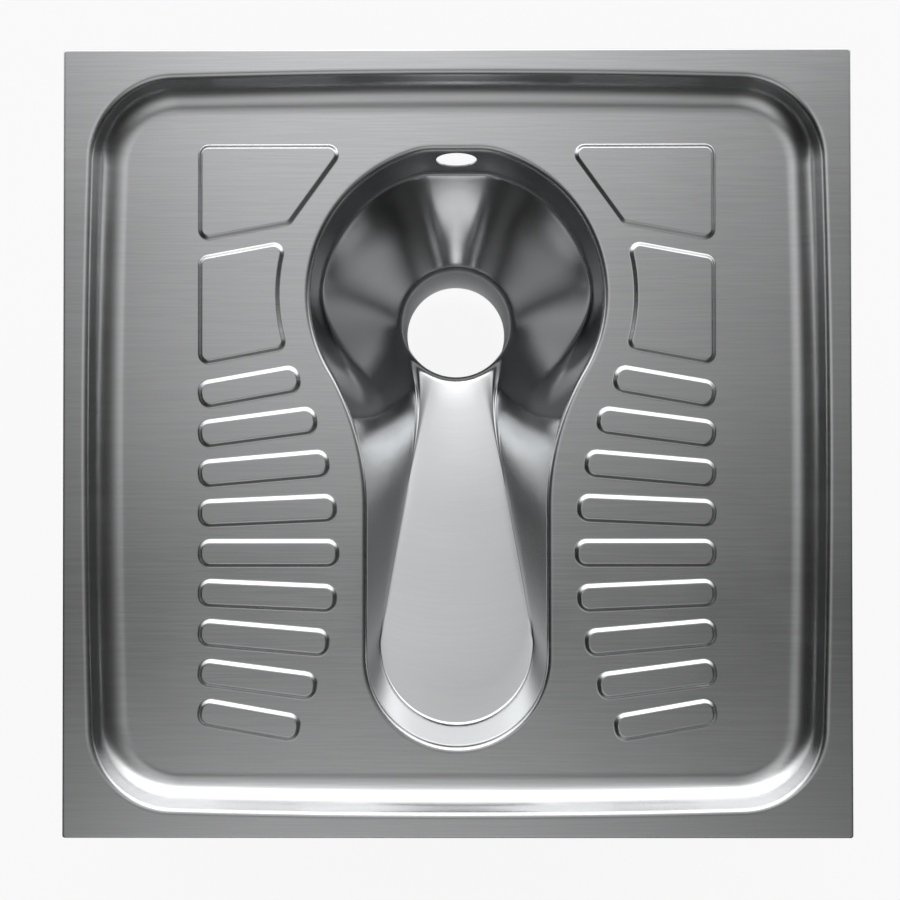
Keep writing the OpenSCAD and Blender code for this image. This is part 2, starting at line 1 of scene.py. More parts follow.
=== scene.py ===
# %% [markdown]
# # A pressed steel squat toilet pan
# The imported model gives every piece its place. The tray and the bowl, which fill the view, are
# pressed again here as fine smooth sheets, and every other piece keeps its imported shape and
# gets a finish of its own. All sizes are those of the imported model, in millimetres, turned to
# metres as each point is placed.

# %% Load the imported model
import json
import math

import bmesh
import bpy
from mathutils import Matrix, Vector


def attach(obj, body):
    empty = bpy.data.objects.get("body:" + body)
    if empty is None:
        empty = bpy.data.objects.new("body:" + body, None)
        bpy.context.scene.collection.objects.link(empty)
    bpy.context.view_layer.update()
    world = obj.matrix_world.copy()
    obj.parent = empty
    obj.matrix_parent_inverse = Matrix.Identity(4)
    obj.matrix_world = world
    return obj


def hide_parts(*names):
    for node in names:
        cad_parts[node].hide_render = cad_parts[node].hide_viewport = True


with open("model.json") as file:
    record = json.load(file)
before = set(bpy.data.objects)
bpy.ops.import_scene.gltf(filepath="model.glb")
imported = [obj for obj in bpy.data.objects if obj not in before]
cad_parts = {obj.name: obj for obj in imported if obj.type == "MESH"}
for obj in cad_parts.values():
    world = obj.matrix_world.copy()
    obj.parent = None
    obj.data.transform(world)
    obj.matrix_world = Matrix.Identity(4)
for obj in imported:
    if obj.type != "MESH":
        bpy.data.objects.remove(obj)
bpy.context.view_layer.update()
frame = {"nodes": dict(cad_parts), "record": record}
MM = 0.001
print("packed pieces:", len(frame["nodes"]))

# %% [markdown]
# ## Sizes
# The same values that shape the solids: the rim stands 250 mm above the floor, and the sheet
# is 1.2 mm thick. A few steps are finer than in the solids, so that the long curves stay smooth.

# %% Sizes of the tray
RIM_Z = 250
SHEET = 1.2
HALF = 300
FOLD_R = 1.6
RIM_DROP = 25
RIM_FACE = 18
TRAY_DEPTH = 20
WALL_LIP_R, FILLET_R = 5, 20
WALL_SLOPE = math.radians(68)
TRAY_CORNER_R = 67
SIDE_BOW, END_BOW = 3.4, 3
FLOOR_Z = RIM_Z - TRAY_DEPTH
WALL_BENDS = WALL_LIP_R + FILLET_R
WALL_STRAIGHT = (TRAY_DEPTH - WALL_BENDS * (1 - math.cos(WALL_SLOPE))) / math.sin(WALL_SLOPE)
WALL_FOOT = RIM_FACE + WALL_BENDS * math.sin(WALL_SLOPE) + WALL_STRAIGHT * math.cos(WALL_SLOPE)
print("the wall's foot lies in from the edge by mm:", round(WALL_FOOT, 2))

# %% Sizes of the bowl
HEAD_Y, HEAD_R = 116.5, 119.8
CHANNEL_HALF, CHANNEL_END_Y, NECK_Y = 74.8, 167, 50
LIP_R, FLANGE_H = 4.5, 2
WELD_Z = FLOOR_Z - LIP_R - FLANGE_H
PAD_HALF = 25
HEAD_FOOT_R, HEAD_FOOT_DEPTH = 115, 75
FLOOR_FRONT, FLOOR_REAR = 65, 27
CHANNEL_DEPTH, FUNNEL_DEPTH, COLLAR_H = 60, 150, 10
OUTLET_Y, SPIGOT_R, SPIGOT_WALL = 112.5, 51, 1.5
PIPE_R = SPIGOT_R - SPIGOT_WALL
INLET_R, INLET_Z = 16.5, RIM_Z - 43.5
print("the bowl hangs below the rim by mm:", FUNNEL_DEPTH + COLLAR_H)

# %% [markdown]
# ## Helpers for shapes
# Sheet metal starts flat. So each formed strip starts as a flat grid, and one helper moves every
# point of the grid to where the press tool puts it. Its two ends meet and are merged, which
# closes the strip round the pan. This keeps the faces even, and the shape stays exact.

# %% A flat grid, pressed into a closed strip
SAME_PLACE = 0.000001


def pressed_strip(mesh, around, rows, place):
    grid = bmesh.ops.create_grid(mesh, x_segments=around, y_segments=rows - 1, size=0.5)["verts"]
    for vert in grid:
        i = round((vert.co.x + 0.5) * around)
        j = round((vert.co.y + 0.5) * (rows - 1))
        vert.co = place(i % around, j) * MM
    bmesh.ops.remove_doubles(mesh, verts=grid, dist=SAME_PLACE)


def mix(a, b, t):
    return a * (1 - t) + b * t


def smooth_step(t):
    t = min(1, max(0, t))
    return t * t * (3 - 2 * t)


# %% [markdown]
# An outline is a closed list of points with the direction that faces outwards at each. Moving
# every point along that direction gives the parallel outlines that a rounded edge needs.

# %% Outlines with their outward directions
def with_normals(points):
    count = len(points)
    outline = []
    for i, point in enumerate(points):
        along = points[(i + 1) % count] - points[i - 1]
        outline.append((point, Vector((along.y, -along.x)).normalized()))
    return outline


def moved_in(outline, inset, z):
    return [Vector((*(point - out * inset), z)) for point, out in outline]


# %% [markdown]
# ## The tray
# The tray is one pressed sheet. Its section runs from the folded outer edge over the flat rim,
# round a small lip, down a steep wall and round a wide hollow to the floor. The hollow is what
# shows the long band of light along the rear. Each entry below is how far a ring lies in from
# the edge and how deep it lies under the rim. Extra rings beside each bend keep flat parts flat.

# %% Section of the tray
def bend(inset, depth, radius, start, end, steps, hollow=False):
    """Rings round one bend, from one slope to another; a hollow bend turns back to level."""
    rings = []
    for k in range(steps + 1):
        a = mix(start, end, k / steps)
        if hollow:
            rings.append((inset - radius * math.sin(a), depth - radius * (1 - math.cos(a))))
        else:
            rings.append((inset + radius * math.sin(a), depth + radius * (1 - math.cos(a))))
    return rings


quarter = math.pi / 2
NEAR, FLOOR_LAP = 1, 1.5
fold = [
    (FOLD_R * (1 - math.sin(a)), FOLD_R * (1 - math.cos(a)))
    for a in [quarter * (1 - k / 6) for k in range(7)]
]
section = [(0, RIM_DROP), (0, RIM_DROP - NEAR), (0, FOLD_R + NEAR)] + fold
section += [(FOLD_R + NEAR, 0), (RIM_FACE - NEAR, 0)]
section += bend(RIM_FACE, 0, WALL_LIP_R, 0, WALL_SLOPE, 10)
section += bend(WALL_FOOT, TRAY_DEPTH, FILLET_R, WALL_SLOPE, 0, 24, hollow=True)
section += [(WALL_FOOT + FLOOR_LAP, TRAY_DEPTH)]
print("rings in the tray's wall:", len(section))

# %% One ring of the tray
CORNER_STEPS, SIDE_STEPS = 20, 24
EDGE_CORNER_R = FOLD_R + 0.5


def tray_ring(inset, depth):
    """A ring with round corners. In the wall its sides bow out, and its ends do so too until
    the hollow, where their bow fades out towards the floor."""
    radius, side_bow, end_bow = EDGE_CORNER_R, 0, 0
    if inset > RIM_FACE - 2 * NEAR:
        radius, side_bow, end_bow = TRAY_CORNER_R - (inset - RIM_FACE), SIDE_BOW, END_BOW
        fillet_run = FILLET_R * math.sin(WALL_SLOPE)
        end_bow *= min(1, max(0, (WALL_FOOT - inset) / fillet_run))
    half, centre = HALF - inset, HALF - inset - radius
    ring = []
    for q in range(4):
        sx, sy = (1, 1, -1, -1)[(q + 1) % 4], (1 if q < 2 else -1)
        for i in range(CORNER_STEPS + 1):
            a = quarter * (q + i / CORNER_STEPS)
            ring.append((sx * centre + radius * math.cos(a), sy * centre + radius * math.sin(a)))
        for i in range(1, SIDE_STEPS):
            t = 1 - 2 * i / SIDE_STEPS
            if q % 2 == 0:
                ring.append((sx * centre * t, sy * (half + end_bow * (1 - t * t))))
            else:
                ring.append((sx * (half + side_bow * (1 - t * t)), sy * centre * t))
    return [Vector((x, y, RIM_Z - depth)) for x, y in ring]


tray_rings = [tray_ring(*entry) for entry in section]
tray = bmesh.new()
pressed_strip(tray, len(tray_rings[0]), len(tray_rings), lambda i, j: tray_rings[j][i])
print("points round the tray:", len(tray_rings[0]))

# %% [markdown]
# ## The keyhole lip
# The opening for the bowl is a keyhole: a round head with a short flat pad at the rear where
# the flush pipe enters, a waisted neck, and a channel with a round front end. The tray turns
# down all round it in a small radius, and the bowl is welded to the end of that turn.

# %% Outline of the keyhole
NECK_R = ((HEAD_Y + NECK_Y) ** 2 / (HEAD_R - CHANNEL_HALF) - (HEAD_R + CHANNEL_HALF)) / 2
NECK_ANGLE = quarter + math.atan((HEAD_Y + NECK_Y) / (CHANNEL_HALF + NECK_R))
HEAD_STEPS, NECK_STEPS, CHANNEL_STEPS, END_STEPS = 44, 20, 14, 24
PAD_BLEND = 1.6


def pad_reach(radius):
    return math.sqrt(radius * radius - PAD_HALF * PAD_HALF)


def flattened(y, limit):
    """The lesser of the circle's reach and the pad's, with a soft change between them."""
    share = max(PAD_BLEND - abs(y - limit), 0) / PAD_BLEND
    return min(y, limit) - share * share * PAD_BLEND / 4


half_outline = []
for k in range(HEAD_STEPS):
    a = NECK_ANGLE * k / HEAD_STEPS
    reach = flattened(HEAD_R * math.cos(a), pad_reach(HEAD_R))
    half_outline.append(Vector((HEAD_R * math.sin(a), HEAD_Y + reach)))
for k in range(NECK_STEPS):
    a = mix(NECK_ANGLE, quarter, k / NECK_STEPS)
    x = CHANNEL_HALF + NECK_R * (1 - math.sin(a))
    half_outline.append(Vector((x, -NECK_Y - NECK_R * math.cos(a))))
for k in range(CHANNEL_STEPS):
    half_outline.append(Vector((CHANNEL_HALF, mix(-NECK_Y, -CHANNEL_END_Y, k / CHANNEL_STEPS))))
for k in range(END_STEPS + 1):
    a = quarter * (1 + k / END_STEPS)
    x, y = CHANNEL_HALF * math.sin(a), -CHANNEL_END_Y + CHANNEL_HALF * math.cos(a)
    half_outline.append(Vector((x, y)))


def mirrored(half):
    """The other half of a ring, without the two points that both halves share."""
    rest = [p.copy() for p in reversed(half[1:-1])]
    for p in rest:
        p.x = -p.x
    return half + rest


# The points run clockwise, so their outward directions are turned round.
keyhole = [(point, -out) for point, out in with_normals(mirrored(half_outline))]
AROUND_BOWL = len(keyhole)
print("points round the keyhole:", AROUND_BOWL)

# %% The lip, pressed down round the keyhole
lip_section = [(-3 * NEAR, 0), (-NEAR, 0)]
lip_section += bend(0, 0, LIP_R, 0, quarter, 10)
lip_section += [(LIP_R, LIP_R + FLANGE_H)]
lip_rings = [moved_in(keyhole, inset, FLOOR_Z - depth) for inset, depth in lip_section]
pressed_strip(tray, AROUND_BOWL, len(lip_rings), lambda i, j: lip_rings[j][i])
print("rings in the lip:", len(lip_rings))

# %% [markdown]
# ## The foot treads
# On each side two panels and nine bars stand 2 mm proud of the floor, so that
# shoes don't slip. They are embossed, so their edges are soft S-curves. Each is described by
# the centres of its rounded corners: an outline at any distance from them is easy to draw.

# %% Outline round a set of corner centres
TREAD_H, FOOT_BEND, TOP_BEND = 2, 2.2, 2.4
TREAD_SLOPE = math.radians(35)
TREAD_OUTER = 202


def round_centres(centres, reach, turn_steps, side_steps, hug=None):
    """Points at one distance round the centres, counter-clockwise. The side that hugs the
    bowl's head, given by the number of its first centre, is an arc round the head."""
    points, count = [], len(centres)
    head = Vector((0, HEAD_Y))
    for n, centre in enumerate(centres):
        before, after = centre - centres[n - 1], centres[(n + 1) % count] - centre
        if hug is not None and (n - 1) % count == hug:
            before = Vector(((centre - head).y, -(centre - head).x))
        if hug is not None and n == hug:
            after = Vector(((centre - head).y, -(centre - head).x))
        start = math.atan2(-before.x, before.y)
        sweep = (math.atan2(-after.x, after.y) - start) % (2 * math.pi)
        for k in range(turn_steps + 1):
            a = start + sweep * k / turn_steps
            points.append(centre + reach * Vector((math.cos(a), math.sin(a))))
        for k in range(1, side_steps):
            if hug == n:
                one, two = centre - head, centres[(n + 1) % count] - head
                turn = one.angle_signed(two) * -k / side_steps
                a = math.atan2(one.y, one.x) + turn
                points.append(head + (one.length - reach) * Vector((math.cos(a), math.sin(a))))
            else:
                side = Vector((after.y, -after.x)).normalized()
                points.append(mix(centre, centres[(n + 1) % count], k / side_steps) + reach * side)
    return points


# %% [markdown]
# A tread is pressed from that outline: the strip starts a little outside the foot of the slope,
# climbs in an S-curve and ends on the flat top, which is closed with one face.

# %% Emboss one tread
BENDS_H = (FOOT_BEND + TOP_BEND) * (1 - math.cos(TREAD_SLOPE))
tread_rise = (TREAD_H - BENDS_H) / math.sin(TREAD_SLOPE)
foot = [
    (FOOT_BEND * math.sin(a), FOOT_BEND * (1 - math.cos(a)))
    for a in [TREAD_SLOPE * k / 5 for k in range(6)]
]
edge_run = (FOOT_BEND + TOP_BEND) * math.sin(TREAD_SLOPE) + tread_rise * math.cos(TREAD_SLOPE)
top = [
    (edge_run - TOP_BEND * math.sin(a), TREAD_H - TOP_BEND * (1 - math.cos(a)))
    for a in [TREAD_SLOPE * (1 - k / 6) for k in range(7)]
]
EDGE_START, EDGE_LAP = -0.6, 0.7
tread_section = [(-EDGE_LAP, 0)] + foot + top + [(edge_run + EDGE_LAP, TREAD_H)]
print("a tread's edge runs over mm:", round(edge_run, 2))


def emboss(mesh, centres, radius, turn_steps, side_steps, hug=None):
    rings = []
    for inset, height in tread_section:
        reach = radius - EDGE_START - inset
        outline = round_centres(centres, reach, turn_steps, side_steps, hug)
        rings.append([Vector((*point, FLOOR_Z + height)) for point in outline])
    pressed_strip(mesh, len(rings[0]), len(rings), lambda i, j: rings[j][i])
    top_z = (FLOOR_Z + TREAD_H) * MM
    rim = [
        e
        for e in mesh.edges
        if e.is_boundary and all(abs(v.co.z - top_z) < SAME_PLACE for v in e.verts)
    ]
    bmesh.ops.contextual_create(mesh, geom=rim)


# %% The nine bars on each side
BAR_HALF, BAR_R, BAR_PITCH, BAR_MID_Y = 11, 9.5, 31.2, 86
BAR_TURN = math.radians(2.5)
INNER_X, INNER_ARC_R = 91.8, 325


def bar_centres(k):
    """The centres of a bar's four rounded corners, on the left side."""
    start = Vector((-(TREAD_OUTER - BAR_HALF), -BAR_MID_Y + k * BAR_PITCH))
    way = Vector((math.cos(k * BAR_TURN), math.sin(k * BAR_TURN)))
    away = start - Vector((-INNER_X - INNER_ARC_R, -BAR_MID_Y))
    along = away.dot(way)
    reach = INNER_ARC_R - BAR_HALF
    length = -along + math.sqrt(along * along - away.length_squared + reach * reach)
    square = BAR_HALF - BAR_R
    across = Vector((-way.y, way.x)) * square
    one, two = start - way * square, start + way * (length + square)
    return [one - across, two - across, two + across, one + across]


def flipped(centres):
    """The same centres on the other side of the pan, still counter-clockwise."""
    return [Vector((-c.x, c.y)) for c in reversed(centres)]


middle_bar = bar_centres(0)
print("length of the middle bar, mm:", round((middle_bar[1] - middle_bar[0]).length + 2 * BAR_R, 1))

# %% The panels beside the bowl's head
PANEL_R, HUG_R, CORNER_HUG_R = 8, 138.6, 140.1
PANEL_REAR, PANEL_JOINT, PANEL_GAP, PANEL_FRONT = 233.5, 151.6, 11.5, 60.2
JOINT_SLOPE, FRONT_SLOPE = math.radians(10.5), math.radians(10.5)


def on_hug(y_outer, slope, hug_r=HUG_R):
    """Where a line that starts at the outer edge meets the circle of corner centres."""
    start = Vector((TREAD_OUTER - PANEL_R, y_outer))
    way = Vector((-math.cos(slope), math.sin(slope)))
    away = start - Vector((0, HEAD_Y))
    along = away.dot(way)
    reach = hug_r + PANEL_R
    return start + way * (-along - math.sqrt(along * along - away.length_squared + reach * reach))


def inner_line(y_edge, slope, side):
    """A panel's edge moved in by the corner radius, at the outer corner centres."""
    return y_edge + side * PANEL_R / math.cos(slope) + PANEL_R * math.tan(slope)


corner_low = inner_line(PANEL_JOINT + PANEL_GAP / 2, JOINT_SLOPE, 1)
side_high = inner_line(PANEL_JOINT - PANEL_GAP / 2, JOINT_SLOPE, -1)
side_low = inner_line(PANEL_FRONT, FRONT_SLOPE, 1)
outer_x = TREAD_OUTER - PANEL_R
corner_panel = [
    Vector((outer_x, corner_low)),
    Vector((outer_x, PANEL_REAR - PANEL_R)),
    on_hug(PANEL_REAR - PANEL_R, 0, CORNER_HUG_R),
    on_hug(corner_low, JOINT_SLOPE, CORNER_HUG_R),
]
side_panel = [
    Vector((outer_x, side_low)),
    Vector((outer_x, side_high)),
    on_hug(side_high, JOINT_SLOPE),
    on_hug(side_low, FRONT_SLOPE),
]
print("corner panel, corner centres:", [tuple(round(v, 1) for v in c) for c in corner_panel])

# %% Emboss all the treads
BARS_EACH_WAY = 4
for k in range(-BARS_EACH_WAY, BARS_EACH_WAY + 1):
    for centres in (bar_centres(k), flipped(bar_centres(k))):
        emboss(tray, centres, BAR_R, turn_steps=9, side_steps=8)
for centres, hug in (
    (corner_panel, None),
    (flipped(corner_panel), None),
    (side_panel, 2),
    (flipped(side_panel), 0),
):
    emboss(tray, centres, PANEL_R, turn_steps=8, side_steps=10, hug=hug)
print("faces with the treads:", len(tray.faces))

# %% [markdown]
# The floor between the wall, the lip and the treads is one flat sheet with holes. Blender's
# triangle fill makes it from the open edges that lie at floor height.

# %% Fill the floor
floor_edges = [
    e
    for e in tray.edges
    if e.is_boundary and all(abs(v.co.z - FLOOR_Z * MM) < SAME_PLACE for v in e.verts)
]
bmesh.ops.triangle_fill(tray, use_beauty=True, edges=floor_edges, normal=(0, 0, 1))
bmesh.ops.recalc_face_normals(tray, faces=tray.faces)
flat_face = max(tray.faces, key=lambda f: f.calc_area())
if flat_face.normal.z < 0:
    bmesh.ops.reverse_faces(tray, faces=tray.faces)
open_edges = sum(e.is_boundary for e in tray.edges)
print("tray faces:", len(tray.faces), "open edges:", open_edges)

# %% [markdown]
# ## From a skin to a sheet
# A helper turns a skin into an object: the grain map tells the steel's finish which way it was
# brushed, and a Solidify modifier gives the sheet its thickness on the hidden side. Another
# applies the modifiers, and keeps edges sharper than 40 degrees crisp.

# %% Make an object from a skin
def sheet_object(name, mesh, grain):
    """Grain gives a point's place across and along the brushing, in metres. It is told the
    point, the way the sheet looks there and the middle of the face that it is asked for."""
    layer = mesh.loops.layers.uv.new("grain")
    mesh.normal_update()
    for face in mesh.faces:
        centre = face.calc_center_median()
        for loop in face.loops:
            loop[layer].uv = grain(loop.vert.co, loop.vert.normal, centre)
    data = bpy.data.meshes.new(name)
    mesh.to_mesh(data)
    mesh.free()
    piece = bpy.data.objects.new(name, data)
    bpy.context.scene.collection.objects.link(piece)
    wall = piece.modifiers.new("sheet", "SOLIDIFY")
    wall.thickness = SHEET * MM
    wall.offset = -1
    wall.use_even_offset = True
    return piece


def apply_modifiers(piece):
    bpy.context.view_layer.update()
    shaped = piece.evaluated_get(bpy.context.evaluated_depsgraph_get())
    data = bpy.data.meshes.new_from_object(shaped)
    piece.modifiers.clear()
    piece.data = data
    data.shade_smooth()
    data.set_sharp_from_angle(angle=math.radians(40))


def tray_grain(point, out, centre):
    """The flat sheet was brushed straight across before it was pressed. Where it is turned down
    plumb, at its edge and in the keyhole, the grain is unrolled along the way the face looks."""
    at_edge = max(abs(point.x), abs(point.y)) > (HALF - FOLD_R) * MM
    drop = min(0, point.z - (RIM_Z if at_edge else FLOOR_Z) * MM)
    return (point.y - out.y * drop, point.x - out.x * drop)


pan_tray = sheet_object("pressed_tray", tray, tray_grain)
apply_modifiers(pan_tray)
print("tray triangles:", sum(len(p.vertices) - 2 for p in pan_tray.data.polygons))

# %% [markdown]
# ## The bowl
# The bowl is drawn from a second sheet. Below the head it is a round wall over a funnel, and
# below the channel a sloping floor that falls to the outlet. At each point of the keyhole the
# section has four knees. Past the neck the section changes smoothly from the funnel's to the
# channel's. Each knee is rounded over a few steps, as the press leaves it.

# %% Knees of the bowl's section
CHANNEL_FRONT_Y = -CHANNEL_END_Y - FLOOR_FRONT
FUNNEL_FRONT_Y = OUTLET_Y - SPIGOT_R
CHANNEL_FALL = (FUNNEL_DEPTH - CHANNEL_DEPTH) / (FUNNEL_FRONT_Y - CHANNEL_FRONT_Y)
CHANNEL_TAPER = (FLOOR_FRONT - FLOOR_REAR) / (FUNNEL_FRONT_Y + CHANNEL_END_Y)
BLEND_START = math.radians(80)
MID_WALL, MID_FUNNEL = 0.4, 0.7


def toward(point, radius, z, y=HEAD_Y):
    """A point on a circle, in the direction in which a point lies from the head's middle."""
    a = math.atan2(point.x, point.y - HEAD_Y)
    return Vector((radius * math.sin(a), y + radius * math.cos(a), z))


def channel_share(i, out):
    """How far the section at a point of the keyhole has turned from funnel to channel."""
    if i < HEAD_STEPS:
        a = math.atan2(out.x, out.y)
        return smooth_step(0.5 * (a - BLEND_START) / (NECK_ANGLE - BLEND_START))
    return smooth_step(0.5 + 0.5 * (i - HEAD_STEPS) / NECK_STEPS)


def channel_foot(point, out):
    """Where the channel's wall meets its floor."""
    x, y = FLOOR_FRONT - CHANNEL_TAPER * (point.y + CHANNEL_END_Y), point.y
    if point.y < -CHANNEL_END_Y:
        x, y = FLOOR_FRONT * out.x, -CHANNEL_END_Y + FLOOR_FRONT * out.y
    return Vector((x, y, RIM_Z - CHANNEL_DEPTH - CHANNEL_FALL * (y - CHANNEL_FRONT_Y)))


def knees(i):
    point, out = keyhole[i]
    share = channel_share(i, out)
    weld = Vector((*(point - out * LIP_R), WELD_Z))
    foot = channel_foot(point, out)
    round_foot = toward(point, HEAD_FOOT_R, RIM_Z - HEAD_FOOT_DEPTH)
    round_foot.y = HEAD_Y + flattened(round_foot.y - HEAD_Y, pad_reach(HEAD_FOOT_R))
    mid_r = HEAD_FOOT_R - MID_FUNNEL * (HEAD_FOOT_R - SPIGOT_R)
    mid_z = RIM_Z - mix(HEAD_FOOT_DEPTH, FUNNEL_DEPTH, MID_FUNNEL)
    return [
        weld,
        mix(round_foot, mix(weld, foot, MID_WALL), share),
        mix(toward(point, mid_r, mid_z, mix(HEAD_Y, OUTLET_Y, MID_FUNNEL)), foot, share),
        toward(point, PIPE_R, RIM_Z - FUNNEL_DEPTH, OUTLET_Y),
        toward(point, PIPE_R, RIM_Z - FUNNEL_DEPTH - COLLAR_H, OUTLET_Y),
    ]


print("slope of the channel's floor:", round(CHANNEL_FALL, 3))

# %% One section, with its knees rounded
WALL_REACH, FLOOR_REACH, NECK_REACH, COLLAR_REACH = 4, 3, 30, 8
KNEE_STEPS, MOST_REACH = 8, 0.45
RUN_STEPS = (8, 12, 12, 3)


def rounded_knee(before, knee, after, reach):
    to_before, to_after = before - knee, after - knee
    one = knee + to_before.normalized() * min(reach, MOST_REACH * to_before.length)
    two = knee + to_after.normalized() * min(reach, MOST_REACH * to_after.length)
    curve = []
    for k in range(KNEE_STEPS + 1):
        t = k / KNEE_STEPS
        curve.append(mix(mix(one, knee, t), mix(knee, two, t), t))
    return curve


def bowl_section(i):
    k = knees(i)
    share = channel_share(i, keyhole[i][1])
    at_wall = mix(WALL_REACH, NECK_REACH, share)
    at_floor = mix(NECK_REACH, FLOOR_REACH, share)
    reach = (at_wall, at_floor, COLLAR_REACH)
    bends = [rounded_knee(k[n], k[n + 1], k[n + 2], reach[n]) for n in range(3)]
    starts = [k[0]] + [b[-1] for b in bends]
    ends = [b[0] for b in bends] + [k[4]]
    points = [k[0]]
    for n in range(4):
        for s in range(1, RUN_STEPS[n] + 1):
            points.append(mix(starts[n], ends[n], s / RUN_STEPS[n]))
        if n < 3:
            points += bends[n][1:]
    return points


half_sections = [bowl_section(i) for i in range(len(half_outline))]
bowl_rings = [mirrored([s[j] for s in half_sections]) for j in range(len(half_sections[0]))]
bowl = bmesh.new()
pressed_strip(bowl, AROUND_BOWL, len(bowl_rings), lambda i, j: bowl_rings[j][i])
print("bowl rings:", len(bowl_rings))

# %% The bowl's object
bmesh.ops.recalc_face_normals(bowl, faces=bowl.faces)
rear_face = max(bowl.faces, key=lambda f: f.calc_center_median().y)
if rear_face.normal.y > 0:
    bmesh.ops.reverse_faces(bowl, faces=bowl.faces)
GRAIN_R = 100 * MM


def bowl_grain(point, out, centre):
    """The bowl was polished round and round, so the grain runs round the head's middle. The
    turn is counted from the face's own middle, which keeps the face at the seam whole."""
    axis = Vector((0, HEAD_Y * MM, 0))
    away, middle = point - axis, centre - axis
    turn = math.atan2(away.x, -away.y)
    turn += 2 * math.pi * round((math.atan2(middle.x, -middle.y) - turn) / (2 * math.pi))
    return (away.xy.length + RIM_Z * MM - point.z, turn * GRAIN_R)


pan_bowl = sheet_object("drawn_bowl", bowl, bowl_grain)
print("bowl faces:", len(pan_bowl.data.polygons))

# %% [markdown]
# The flush inlet is punched square through the flat pad. A Boolean with a short cylinder cuts
# it, and is applied at once, so that the cutter needn't stay.

# %% Punch the inlet
PUNCH_LENGTH = 30
pad_top = HEAD_Y + pad_reach(HEAD_R) - LIP_R
pad_foot = HEAD_Y + pad_reach(HEAD_FOOT_R)
PAD_LEAN = math.atan((pad_top - pad_foot) / (WELD_Z - RIM_Z + HEAD_FOOT_DEPTH))
inlet_y = pad_foot + (INLET_Z - RIM_Z + HEAD_FOOT_DEPTH) * math.tan(PAD_LEAN)
punch = bmesh.new()
bmesh.ops.create_cone(
    punch,
    cap_ends=True,
    segments=64,
    radius1=INLET_R * MM,
    radius2=INLET_R * MM,
    depth=PUNCH_LENGTH * MM,
    matrix=Matrix.Translation((0, inlet_y * MM, INLET_Z * MM))
    @ Matrix.Rotation(-quarter - PAD_LEAN, 4, "X"),
)
punch_data = bpy.data.meshes.new("punch")
punch.to_mesh(punch_data)
punch.free()
punch_object = bpy.data.objects.new("punch", punch_data)
bpy.context.scene.collection.objects.link(punch_object)
cut = pan_bowl.modifiers.new("inlet", "BOOLEAN")
cut.operation = "DIFFERENCE"
cut.solver = "EXACT"
cut.object = punch_object
apply_modifiers(pan_bowl)
bpy.data.objects.remove(punch_object)
bpy.data.meshes.remove(punch_data)
print("bowl triangles:", sum(len(p.vertices) - 2 for p in pan_bowl.data.polygons))

# %% [markdown]
# ## Finishes
# Colours are written as sRGB hex values, which one function turns to the linear values that
# the shaders work with. One more function adds a node, sets it up and links its inputs.

# %% Helpers for finishes
def linear(hex_colour):
    """The linear value of a colour, with an alpha of 1."""
    channels = [int(hex_colour[k : k + 2], 16) / 255 for k in (1, 3, 5)]
    return tuple(
        c / 12.92 if c <= 0.04045 else ((c + 0.055) / 1.055) ** 2.4 for c in channels
    ) + (1.0,)


def add_node(tree, kind, inputs=None, **settings):
    """Adds a node. An input is a plain value, or the output socket that feeds it."""
    node = tree.nodes.new(kind)
    for name, value in settings.items():
        setattr(node, name, value)
    for name, value in (inputs or {}).items():
        if isinstance(value, bpy.types.NodeSocket):
            tree.links.new(value, node.inputs[name])
        else:
            node.inputs[name].default_value = value
    return node


def new_finish(name):
    """A new material and its empty node tree."""
    material = bpy.data.materials.new(name)
    material.use_nodes = True
    material.node_tree.nodes.clear()
    return material, material.node_tree


# %% [markdown]
# ### Satin stainless steel
# The sheet is grade 304 stainless steel, brushed to a satin finish and then handled, so its
# gloss is soft and slightly uneven. The brushing is finer than a pixel. What the eye gets is
# faint streaks along the grain, and highlights that stretch across it: the noise below changes
# within a millimetre across the grain, which is as coarse as it needs to be to show, but only
# slowly from place to place, and the anisotropy does the stretching. Broad clouds of slightly
# duller steel come from wiping and handling. The drawn bowl is polished finer than the tray, so
# it mirrors more sharply and its lines hardly show.

# %% Satin steel
STREAK_WIDTH, STREAK_LENGTH, CLOUD_SIZE = 1.0 * MM, 60 * MM, 70 * MM
STREAK_GLOSS, CLOUD_GLOSS, STREAK_SHADE, STREAK_EDGE = 0.01, 0.02, 0.02, 0.02
NOISE_LOW, NOISE_HIGH = 0.3, 0.7


def spread(tree, value, low, high):
    """Turns a noise value into a plain change between two values."""
    limits = {"From Min": NOISE_LOW, "From Max": NOISE_HIGH, "To Min": low, "To Max": high}
    return add_node(tree, "ShaderNodeMapRange", {"Value": value} | limits).outputs["Result"]


